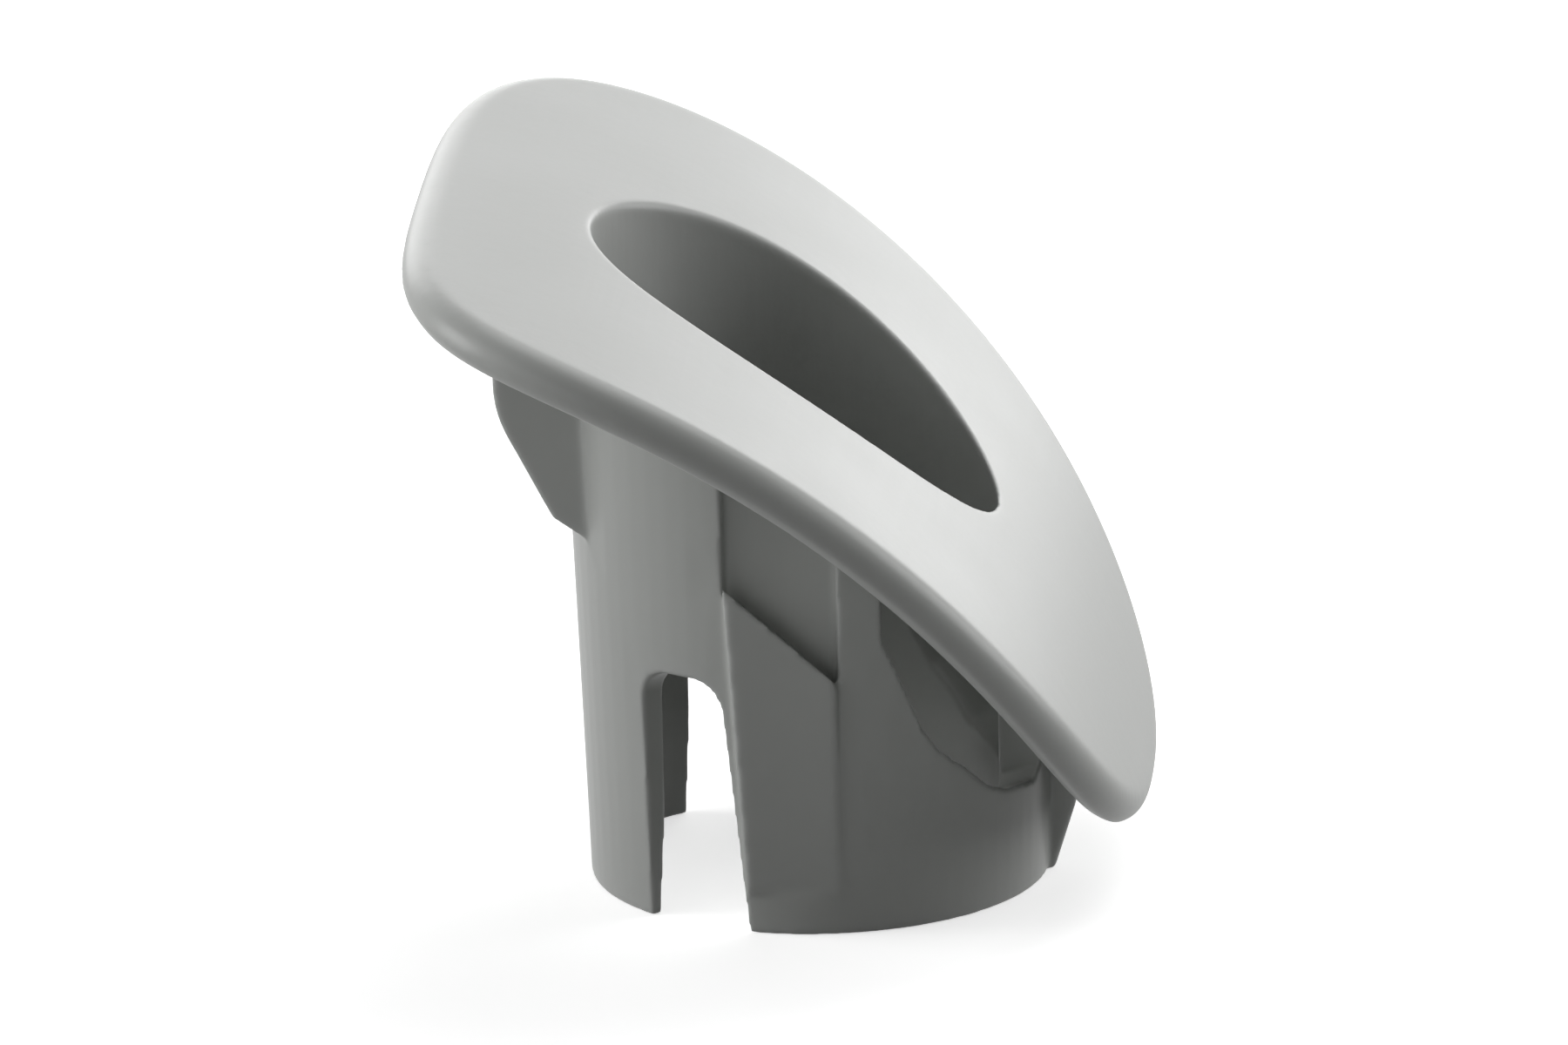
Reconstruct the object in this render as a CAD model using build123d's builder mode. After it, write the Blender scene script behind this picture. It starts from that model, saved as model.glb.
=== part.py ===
"""Door lock pin bezel, moulded in one piece.

A sloping, arched flange stands on a round collar that snaps into a hole in a door trim.
The origin is on the collar axis, level with the collar tip. +Z runs up the axis, +X points
to the low end of the flange, and XZ is the plane of symmetry. All sizes are millimetres.
"""
import os

from build123d import *

# Bore and collar
bore_r = 7.0               # clearance round the lock pull
bore_x = -0.58             # the bore sits a little towards the high side
collar_wall = 1.1          # mean wall at the foot of the straight bore
collar_r = bore_r + collar_wall
collar_draft = 0.033       # growth of the outer radius per mm of height
mouth_r = 7.3              # flared mouth at the very tip
lead_in_h = 4.0            # height of the flared mouth inside the tip

# Flange: a sheet bent round one axis that runs along Y
crown_r = 33.0
crown_mid_x = 2.35         # top of the sheet at mid-length
crown_mid_z = 17.7
flange_tilt = 41.1         # lean of the sheet's normal there
flange_t = 1.5

# Outline: one Bezier curve per side, from the high end to the low end
half_length = 17.0
high_end_w = 20.0          # heights of its four inner control points over the centre line
high_side_w = 24.3
low_side_w = 15.7
low_end_w = 10.7
high_side_share = 0.96     # places of the middle two, as shares of half the length
low_side_share = 0.71
crown_edge_r = 0.9
under_edge_c = 0.4
mouth_edge_c = 0.12

# Two slots that free the high-side leg
slot_angle = 45.0          # from the -X direction round to the way the slot is cut
slot_top_z = 9.15
slot_leg_side = 0.35       # slot edges, from the plane at that angle through the collar axis
slot_body_side_top = 3.5
slot_body_side_foot = 4.15
slot_corner_r = 1.1

# Two windows in the low side, between the collar wall and the flange
window_angle = 50.0        # from the -Y direction round to the window
window_dip = 25.0          # the cut runs down towards the bore, heights taken at its outside
window_sill_z = 4.25
window_strip_side = 3.5    # edge beside the strip that carries the rib
window_sill_x = 0.5       # where the sill meets the slanting edge
window_slant_x = -2.5
window_slant_z = 6.8
window_side_x = -4.2
window_side_z = 11.2
window_head_z = 14.2       # head of the window, sloping with the flange
window_head_low_z = 9.2
window_corner_c = 0.6

# Snap barbs on the two flanks
barb_x0 = -2.6             # slot-side edge at the ledge
barb_x0_foot = -2.0        # slot-side edge at the foot
barb_x1 = 1.34
barb_ledge_z0 = 13.05      # ledge height at barb_x0
barb_ledge_z1 = 9.65       # ledge height at barb_x1
barb_foot_z = 1.5
barb_foot_y = collar_r
barb_ledge_y = collar_r + 0.9
barb_hook = 35.0           # the ledge runs down towards the wall, heights taken at its edge
recess_depth = 1.7         # from the edge of the ledge, along that slope

# Locating lug under the high end and stiffening rib under the low end
lug_half_width = 3.8
lug_reach = 10.9
lug_toe_reach = 8.9
lug_root_z = 13.0
lug_toe_z = 13.9
lug_knee_z = 17.75
lug_knee_r = 4.0
lug_root_x = bore_x - bore_r
rib_t = 1.1
rib_reach = 9.1
rib_foot_reach = 8.3
rib_root_x = bore_r + collar_wall / 2
rib_step_z = 2.5

# The bend axis of the flange, leaning with its normal
crown_mid = Plane((crown_mid_x, 0, crown_mid_z)).rotated((0, flange_tilt, 0))
bend = crown_mid.offset(-crown_r)
lean = Axis(bend.origin, bend.z_dir)
outline_level = (crown_r**2 - half_length**2) ** 0.5    # the level of the crown's two ends
blank_h = crown_mid_z + crown_r / 4                     # collar blank, trimmed under the crown


# Flange sheet, cut to its outline by a wall that points at the bend axis
with BuildPart() as flange:
    with BuildSketch(Plane.XZ) as ring:
        with Locations((bend.origin.X, bend.origin.Z)):
            Circle(crown_r)
            Circle(crown_r - flange_t, mode=Mode.SUBTRACT)
    extrude(amount=high_side_w, both=True)
    for level in (outline_level - 2 * flange_t, crown_r + flange_t):
        reach = half_length * level / outline_level
        with BuildSketch(bend.offset(level)) as outline:
            with BuildLine():
                Bezier(
                    (-reach, 0),
                    (-reach, high_end_w),
                    (-reach * high_side_share, high_side_w),
                    (reach * low_side_share, low_side_w),
                    (reach, low_end_w),
                    (reach, 0),
                )
                mirror(about=Plane.XZ)
            make_face()
    loft(ruled=True, mode=Mode.INTERSECT)
    underside, crown = flange.faces().sort_by(SortBy.AREA)[-2:].sort_by(lean)
    fillet(crown.edges(), radius=crown_edge_r)
    underside, crown = flange.faces().sort_by(SortBy.AREA)[-2:].sort_by(lean)
    chamfer(underside.edges(), length=under_edge_c)

# Cuts on one flank, mirrored to the other
with BuildPart() as flank_cuts:
    # Slot beside the high-side leg, open at the collar tip
    with BuildSketch(Plane.XZ.rotated((0, 0, slot_angle - 90))) as slot:
        with BuildLine():
            Polyline(
                (slot_leg_side, -1),
                (slot_body_side_foot, -1),
                (slot_body_side_foot, 0),
                (slot_body_side_top, slot_top_z),
                (slot_leg_side, slot_top_z),
                close=True,
            )
        make_face()
        fillet(slot.vertices().group_by(Axis.Y)[-1], radius=slot_corner_r)
    extrude(amount=collar_r + 3)

    # Window under the flange, its head sloping with the sheet
    with BuildSketch(Plane.XZ.rotated((0, 0, window_angle)).offset(collar_r)) as window:
        with BuildLine():
            Polyline(
                (window_sill_x, window_sill_z),
                (window_strip_side, window_sill_z),
                (window_strip_side, window_head_low_z),
                (window_side_x, window_head_z),
                (window_side_x, window_side_z),
                (window_slant_x, window_slant_z),
                close=True,
            )
        make_face()
        sill, slant = window.vertices().group_by(Axis.Y)[:2]
        chamfer([*sill, slant[0]], length=window_corner_c)
    way_out = Vector(0, -1, 0).rotate(Axis.X, -window_dip).rotate(Axis.Z, window_angle)
    extrude(amount=collar_r, dir=way_out, both=True)

    # Recess in the wall above the barb, cut along the slope of its hooked ledge
    with BuildSketch(Plane.XZ.offset(barb_ledge_y)) as recess:
        with BuildLine():
            Polyline(
                (barb_x0, barb_ledge_z0),
                (barb_x1, barb_ledge_z1),
                (barb_x1, blank_h),
                (barb_x0, blank_h),
                close=True,
            )
        make_face()
    extrude(amount=recess_depth, dir=Vector(0, 1, 0).rotate(Axis.X, -barb_hook))

    mirror(about=Plane.XZ)

with BuildPart() as bezel:
    # Collar blank with draft on its outside
    with BuildSketch(Plane.XZ) as blank:
        with BuildLine():
            Polyline(
                (0, 0),
                (collar_r, 0),
                (collar_r + collar_draft * blank_h, blank_h),
                (0, blank_h),
                close=True,
            )
        make_face()
    revolve(axis=Axis.Z)

    # Snap barbs: one bar right through, its two end faces cut to ramps
    with BuildSketch(Plane.XZ) as barb:
        with BuildLine():
            Polyline(
                (barb_x0_foot, barb_foot_z),
                (barb_x1, barb_foot_z),
                (barb_x1, barb_ledge_z1),
                (barb_x0, barb_ledge_z0),
                close=True,
            )
        make_face()
    extrude(amount=barb_ledge_y, both=True)
    with BuildSketch(Plane.YZ.offset(barb_x0 - 0.5)) as ramp:
        with BuildLine():
            Polyline(
                (barb_foot_y, barb_foot_z),
                (barb_ledge_y, barb_ledge_z0),
                (barb_ledge_y + 1, barb_ledge_z0),
                (barb_ledge_y + 1, barb_foot_z),
                close=True,
            )
        make_face()
        mirror(about=Plane.YZ)
    extrude(amount=barb_x1 - barb_x0 + 1, mode=Mode.SUBTRACT)

    # Locating lug on the high side
    with BuildSketch(Plane.XZ) as lug:
        with BuildLine():
            Polyline(
                (lug_root_x, lug_root_z),
                (-lug_toe_reach, lug_toe_z),
                (-lug_reach, lug_knee_z),
                (-lug_reach, blank_h),
                (lug_root_x, blank_h),
                close=True,
            )
        make_face()
        fillet(lug.vertices().group_by(Axis.Y)[2], radius=lug_knee_r)
    extrude(amount=lug_half_width, both=True)

    # Stiffening rib on the low side
    with BuildSketch(Plane.XZ) as rib:
        with BuildLine():
            Polyline(
                (rib_root_x, 0),
                (rib_foot_reach, 0),
                (rib_reach, rib_step_z),
                (rib_reach, blank_h),
                (rib_root_x, blank_h),
                close=True,
            )
        make_face()
    extrude(amount=rib_t / 2, both=True)

    # Everything under the flange ends inside the sheet
    with BuildSketch(Plane.XZ) as under_crown:
        with Locations((bend.origin.X, bend.origin.Z)):
            Circle(crown_r - flange_t / 2)
    extrude(amount=blank_h, both=True, mode=Mode.INTERSECT)

    add(flank_cuts.part, mode=Mode.SUBTRACT)
    add(flange.part)

    # Bore for the lock pull, flared inside the tip
    with BuildSketch(Plane.XZ) as bore:
        with BuildLine():
            Polyline(
                (bore_x, 0),
                (bore_x + mouth_r, 0),
                (bore_x + bore_r, lead_in_h),
                (bore_x + bore_r, blank_h),
                (bore_x, blank_h),
                close=True,
            )
        make_face()
    revolve(axis=Axis((bore_x, 0, 0), (0, 0, 1)), mode=Mode.SUBTRACT)

    crown_face = bezel.faces().sort_by(SortBy.AREA)[-1]
    chamfer(crown_face.inner_wires()[0].edges(), length=mouth_edge_c)

os.makedirs("parts", exist_ok=True)
bezel.part.label = "bezel"
export_step(bezel.part, "parts/bezel.step")
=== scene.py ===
"""Door lock pin bezel: one moulding in light grey plastic, standing on the tip of its collar."""
import math

import bmesh
import bpy
from mathutils import Matrix, Vector


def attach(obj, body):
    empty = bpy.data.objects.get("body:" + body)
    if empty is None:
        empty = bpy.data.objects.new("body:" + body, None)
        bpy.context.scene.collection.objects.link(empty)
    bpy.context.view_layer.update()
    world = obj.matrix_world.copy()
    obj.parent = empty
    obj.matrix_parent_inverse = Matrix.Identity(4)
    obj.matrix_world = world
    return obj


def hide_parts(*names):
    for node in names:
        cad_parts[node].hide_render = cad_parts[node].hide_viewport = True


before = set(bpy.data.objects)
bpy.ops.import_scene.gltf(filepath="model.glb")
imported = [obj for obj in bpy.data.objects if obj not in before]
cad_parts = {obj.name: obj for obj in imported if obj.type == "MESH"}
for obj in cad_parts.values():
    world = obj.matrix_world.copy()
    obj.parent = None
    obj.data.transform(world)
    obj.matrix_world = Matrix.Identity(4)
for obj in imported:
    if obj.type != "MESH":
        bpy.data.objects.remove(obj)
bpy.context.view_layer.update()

# Bezel
# A single shot of satin grey plastic: a bent flange on a split collar. The melt leaves its tone
# a touch uneven, the spark-eroded tool gives it a fine grain over a faint orange peel, and its
# corners are a little soft, and rubbed paler by handling.
COLOUR_A, COLOUR_B, COLOUR_RESULT = 6, 7, 2      # where a Mix node keeps its colours


class Wire:
    """One output of a shader node, so that sums on values read as plain arithmetic."""

    def __init__(self, tree, socket=None):
        self.tree = tree
        self.socket = socket

    def make(self, kind, settings=None, inputs=None, output=0):
        """A new node on the same tree: its settings first, then its sockets set or linked."""
        node = self.tree.nodes.new(kind)
        for name, value in (settings or {}).items():
            setattr(node, name, value)
        for name, value in (inputs or {}).items():
            if isinstance(value, Wire):
                self.tree.links.new(value.socket, node.inputs[name])
            else:
                node.inputs[name].default_value = value
        return Wire(self.tree, node.outputs[output] if node.outputs else None)

    def blend(self, first, second):
        """A colour that runs from first to second as this value runs from 0 to 1."""
        inputs = {"Factor": self, COLOUR_A: first, COLOUR_B: second}
        return self.make("ShaderNodeMix", {"data_type": "RGBA"}, inputs, output=COLOUR_RESULT)

    def sum(self, operation, first, second):
        return self.make("ShaderNodeMath", {"operation": operation}, {0: first, 1: second})

    def __add__(self, other):
        return self.sum("ADD", self, other)

    __radd__ = __add__

    def __sub__(self, other):
        return self.sum("SUBTRACT", self, other)

    def __rsub__(self, other):
        return self.sum("SUBTRACT", other, self)

    def __mul__(self, other):
        return self.sum("MULTIPLY", self, other)

    __rmul__ = __mul__


def new_wires(owner):
    """An empty shader tree on a material or a world, ready to take nodes."""
    owner.use_nodes = True
    owner.node_tree.nodes.clear()
    return Wire(owner.node_tree)


GREY = (0.376, 0.386, 0.372, 1)
GREY_DEEP = (0.352, 0.362, 0.350, 1)
GREY_RUBBED = (0.43, 0.44, 0.43, 1)
FLOW_SCALE = 160           # noise scales, per metre
RUB_SCALE = 900
PEEL_SCALE = 1300
GRAIN_SCALE = 9000
PEEL_HEIGHT = 0.00003      # metres
GRAIN_HEIGHT = 0.000008
RELIEF = 0.25              # share of each height that shows
SATIN = 0.27               # roughness where flow and grain add nothing

plastic = bpy.data.materials.new("satin_grey_plastic")
wires = new_wires(plastic)
place = wires.make("ShaderNodeTexCoord", output="Object")


def noise(scale, detail, rough=0.5):
    inputs = {"Vector": place, "Scale": scale, "Detail": detail, "Roughness": rough}
    return wires.make("ShaderNodeTexNoise", {"noise_dimensions": "3D"}, inputs)


def relief(pattern, height, under=None):
    """A bump from a pattern, laid over the bump under it."""
    inputs = {"Strength": RELIEF, "Distance": height, "Height": pattern}
    if under:
        inputs["Normal"] = under
    return wires.make("ShaderNodeBump", inputs=inputs)


flow = noise(FLOW_SCALE, 3)
grain = noise(GRAIN_SCALE, 2, 0.6)
peel = noise(PEEL_SCALE, 2)
rub = noise(RUB_SCALE, 3, 0.65)
rubbed = wires.make("ShaderNodeAttribute", {"attribute_name": "rubbed"}, output="Fac")
worn = 0.5 * rubbed * rub
finish = {
    "Base Color": worn.blend(flow.blend(GREY_DEEP, GREY), GREY_RUBBED),
    "Roughness": SATIN + 0.10 * flow + 0.05 * grain - 0.06 * worn,
    "Normal": relief(peel, PEEL_HEIGHT, under=relief(grain, GRAIN_HEIGHT)),
    "IOR": 1.48,
    "Specular IOR Level": 0.3,
}
shader = wires.make("ShaderNodeBsdfPrincipled", inputs=finish)
wires.make("ShaderNodeOutputMaterial", inputs={"Surface": shader})

# A skin is drawn over the solid at a fine pitch, in millimetres, and relaxed until its edges
# are rounded by about a tenth of one. What stands proud of its wider surroundings is rubbed.
MILLIMETRE = 0.001
WELD = 0.000001            # metres within which two corners are one
SKIN_PITCH = 0.08
SKIN_PASSES = 8
RUB_PASSES = 40            # how far from a corner handling shows
RUB_DEPTH = 0.06           # how far a fully rubbed corner stands proud
SKIN_TRIANGLES = 190000


def weld(mesh):
    """Merge the corners, on a mesh in metres, that are less than WELD apart."""
    work = bmesh.new()
    work.from_mesh(mesh)
    bmesh.ops.remove_doubles(work, verts=work.verts, dist=WELD)
    work.to_mesh(mesh)
    work.free()


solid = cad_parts["bezel"]
skin = solid.data.copy()
weld(skin)
skin.materials.clear()
skin.transform(Matrix.Scale(1 / MILLIMETRE, 4))

bezel = bpy.data.objects.new("bezel_moulding", skin)
bpy.context.scene.collection.objects.link(bezel)
remesh = bezel.modifiers.new("skin", "REMESH")
remesh.mode = "VOXEL"
remesh.voxel_size = SKIN_PITCH

tree = bpy.data.node_groups.new("soft_corners", "GeometryNodeTree")
sockets = tree.interface
sockets.new_socket("Geometry", in_out="INPUT", socket_type="NodeSocketGeometry")
passes_in = sockets.new_socket("Passes", in_out="INPUT", socket_type="NodeSocketInt")
rub_passes_in = sockets.new_socket("Rub Passes", in_out="INPUT", socket_type="NodeSocketInt")
rub_depth_in = sockets.new_socket("Rub Depth", in_out="INPUT", socket_type="NodeSocketFloat")
sockets.new_socket("Geometry", in_out="OUTPUT", socket_type="NodeSocketGeometry")
made = {}
for name, kind in {
    "given": "NodeGroupInput",
    "place": "GeometryNodeInputPosition",
    "relaxed": "GeometryNodeBlurAttribute",
    "soften": "GeometryNodeSetPosition",
    "spread": "GeometryNodeBlurAttribute",
    "proud": "ShaderNodeVectorMath",
    "outward": "GeometryNodeInputNormal",
    "height": "ShaderNodeVectorMath",
    "share": "ShaderNodeMath",
    "keep": "GeometryNodeStoreNamedAttribute",
    "real": "GeometryNodeRealizeInstances",
    "dress": "GeometryNodeSetMaterial",
    "result": "NodeGroupOutput",
}.items():
    made[name] = tree.nodes.new(kind)
made["relaxed"].data_type = "FLOAT_VECTOR"
made["spread"].data_type = "FLOAT_VECTOR"
made["proud"].operation = "SUBTRACT"
made["height"].operation = "DOT_PRODUCT"
made["share"].operation = "DIVIDE"
made["share"].use_clamp = True
made["keep"].data_type = "FLOAT"
made["keep"].domain = "POINT"
made["keep"].inputs["Name"].default_value = "rubbed"
made["dress"].inputs["Material"].default_value = plastic
for start, output, end, socket in (
    ("given", "Geometry", "soften", "Geometry"),
    ("place", "Position", "relaxed", "Value"),
    ("given", "Passes", "relaxed", "Iterations"),
    ("relaxed", "Value", "soften", "Position"),
    ("place", "Position", "spread", "Value"),
    ("given", "Rub Passes", "spread", "Iterations"),
    ("place", "Position", "proud", 0),
    ("spread", "Value", "proud", 1),
    ("proud", 0, "height", 0),
    ("outward", "Normal", "height", 1),
    ("height", "Value", "share", 0),
    ("given", "Rub Depth", "share", 1),
    ("soften", "Geometry", "keep", "Geometry"),
    ("share", 0, "keep", "Value"),
    ("keep", "Geometry", "real", "Geometry"),
    ("real", "Geometry", "dress", "Geometry"),
    ("dress", "Geometry", "result", 0),
):
    tree.links.new(made[start].outputs[output], made[end].inputs[socket])
soften = bezel.modifiers.new("soft_corners", "NODES")
soften.node_group = tree
soften[passes_in.identifier] = SKIN_PASSES
soften[rub_passes_in.identifier] = RUB_PASSES
soften[rub_depth_in.identifier] = RUB_DEPTH


def settled(thing):
    """The thing's mesh with its modifiers applied, as a new mesh; the modifiers go."""
    graph = bpy.context.evaluated_depsgraph_get()
    mesh = bpy.data.meshes.new_from_object(thing.evaluated_get(graph))
    thing.modifiers.clear()
    thing.data = mesh
    return mesh


dense = settled(bezel)
dense.calc_loop_triangles()
fewer = bezel.modifiers.new("fewer_faces", "DECIMATE")
fewer.ratio = min(1.0, SKIN_TRIANGLES / len(dense.loop_triangles))
skin = settled(bezel)
skin.name = "bezel_moulding"
skin.transform(Matrix.Scale(MILLIMETRE, 4))
weld(skin)
skin.shade_smooth()

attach(bezel, "root")
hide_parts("bezel")

# Table
# A plain white table top, wide enough to run out of sight behind the part. It throws little
# light back up, and is seen as nearly white wherever the part leaves it unshaded.
TABLE_REACH = 1.2          # metres from the middle to each edge
TABLE_GLOW = 0.60          # white that shows even in full shade
TABLE_TONE = (0.36, 0.36, 0.36, 1)
TABLE_TONE_SEEN = (0.84, 0.84, 0.84, 1)

table_mesh = bpy.data.meshes.new("table")
corners = [(TABLE_REACH * x, TABLE_REACH * y, 0) for x, y in ((-1, -1), (1, -1), (1, 1), (-1, 1))]
table_mesh.from_pydata(corners, [], [(0, 1, 2, 3)])
table = bpy.data.objects.new("table", table_mesh)
bpy.context.scene.collection.objects.link(table)


def sees_surroundings(wires):
    """1 on the rays that see the surroundings: from the camera, mirrored or passed through."""
    seen = wires.make("ShaderNodeLightPath", output="Is Camera Ray")
    mirrored = wires.make("ShaderNodeLightPath", output="Is Glossy Ray")
    passed = wires.make("ShaderNodeLightPath", output="Is Transmission Ray")
    return seen + mirrored + passed


white = bpy.data.materials.new("white_table")
wires = new_wires(white)
seen = wires.make("ShaderNodeLightPath", output="Is Camera Ray")
tone = seen.blend(TABLE_TONE, TABLE_TONE_SEEN)
matt = wires.make("ShaderNodeBsdfDiffuse", inputs={"Color": tone})
strength = TABLE_GLOW * sees_surroundings(wires)
glow = wires.make("ShaderNodeEmission", inputs={"Color": (1, 1, 1, 1), "Strength": strength})
both = wires.make("ShaderNodeAddShader", inputs={0: matt, 1: glow})
wires.make("ShaderNodeOutputMaterial", inputs={"Surface": both})
table_mesh.materials.append(white)

# Light
# Soft boxes stand to both sides, low behind the part and high over its low end, with a weak
# one in front. The room sheds no light of its own, but is seen, and mirrored, as white.
BOX_SIZE = 0.25            # metres
BOX_DISTANCE = 0.45
MIDDLE = Vector((0, 0, 0.014))

world = bpy.data.worlds.new("white_room")
bpy.context.scene.world = world
wires = new_wires(world)
strength = sees_surroundings(wires)
room = wires.make("ShaderNodeBackground", inputs={"Color": (1, 1, 1, 1), "Strength": strength})
wires.make("ShaderNodeOutputWorld", inputs={"Surface": room})


def soft_box(name, turn, rise, watts, size=BOX_SIZE):
    """A square lamp aimed at the part; turn runs from +X towards +Y, rise from level, in degrees."""
    lamp = bpy.data.lights.new(name, "AREA")
    lamp.size = size
    lamp.energy = watts
    around, above = math.radians(turn), math.radians(rise)
    aim = Vector((
        math.cos(around) * math.cos(above),
        math.sin(around) * math.cos(above),
        math.sin(above),
    ))
    box = bpy.data.objects.new(name, lamp)
    facing = aim.to_track_quat("Z", "Y").to_matrix().to_4x4()
    box.matrix_world = Matrix.Translation(MIDDLE + aim * BOX_DISTANCE) @ facing
    box.visible_camera = False
    bpy.context.scene.collection.objects.link(box)


soft_box("back_right", 60, 10, 0.26)
soft_box("back", 76, 7, 0.29)
soft_box("back_left", 108, 12, 0.36)
soft_box("left", 180, 18, 0.98)
soft_box("left_high", 202, 30, 0.50, size=0.35)
soft_box("front", 250, 14, 0.17)
soft_box("right", 16, 15, 1.02, size=0.30)
soft_box("above", 55, 60, 1.12, size=0.40)

# Camera
# A long lens a little above the table, almost square to the side of the part.
AZIMUTH = math.radians(4.48)
ELEVATION = math.radians(16.89)
ROLL = math.radians(-1.17)
DISTANCE = 0.6883          # metres, from the point it looks at
LOOKS_AT = Vector((0, 0, 0.015))
LENS = 450                 # millimetres, as is the sensor
SENSOR_WIDTH = 36
SHIFT = (-0.0185, -0.0414)
NEAREST, FARTHEST = 0.01, 20

across = Vector((math.cos(AZIMUTH), math.sin(AZIMUTH), 0))
back = Vector((
    math.sin(AZIMUTH) * math.cos(ELEVATION),
    -math.cos(AZIMUTH) * math.cos(ELEVATION),
    math.sin(ELEVATION),
))
up = back.cross(across)
right = across * math.cos(ROLL) + up * math.sin(ROLL)
upright = up * math.cos(ROLL) - across * math.sin(ROLL)
lens = bpy.data.cameras.new("camera")
lens.lens = LENS
lens.sensor_width = SENSOR_WIDTH
lens.shift_x, lens.shift_y = SHIFT
lens.clip_start, lens.clip_end = NEAREST, FARTHEST
camera = bpy.data.objects.new("camera", lens)
turned = Matrix((right, upright, back)).transposed().to_4x4()
camera.matrix_world = Matrix.Translation(LOOKS_AT + back * DISTANCE) @ turned
bpy.context.scene.collection.objects.link(camera)
bpy.context.scene.camera = camera
bpy.context.scene.view_settings.view_transform = "Standard"
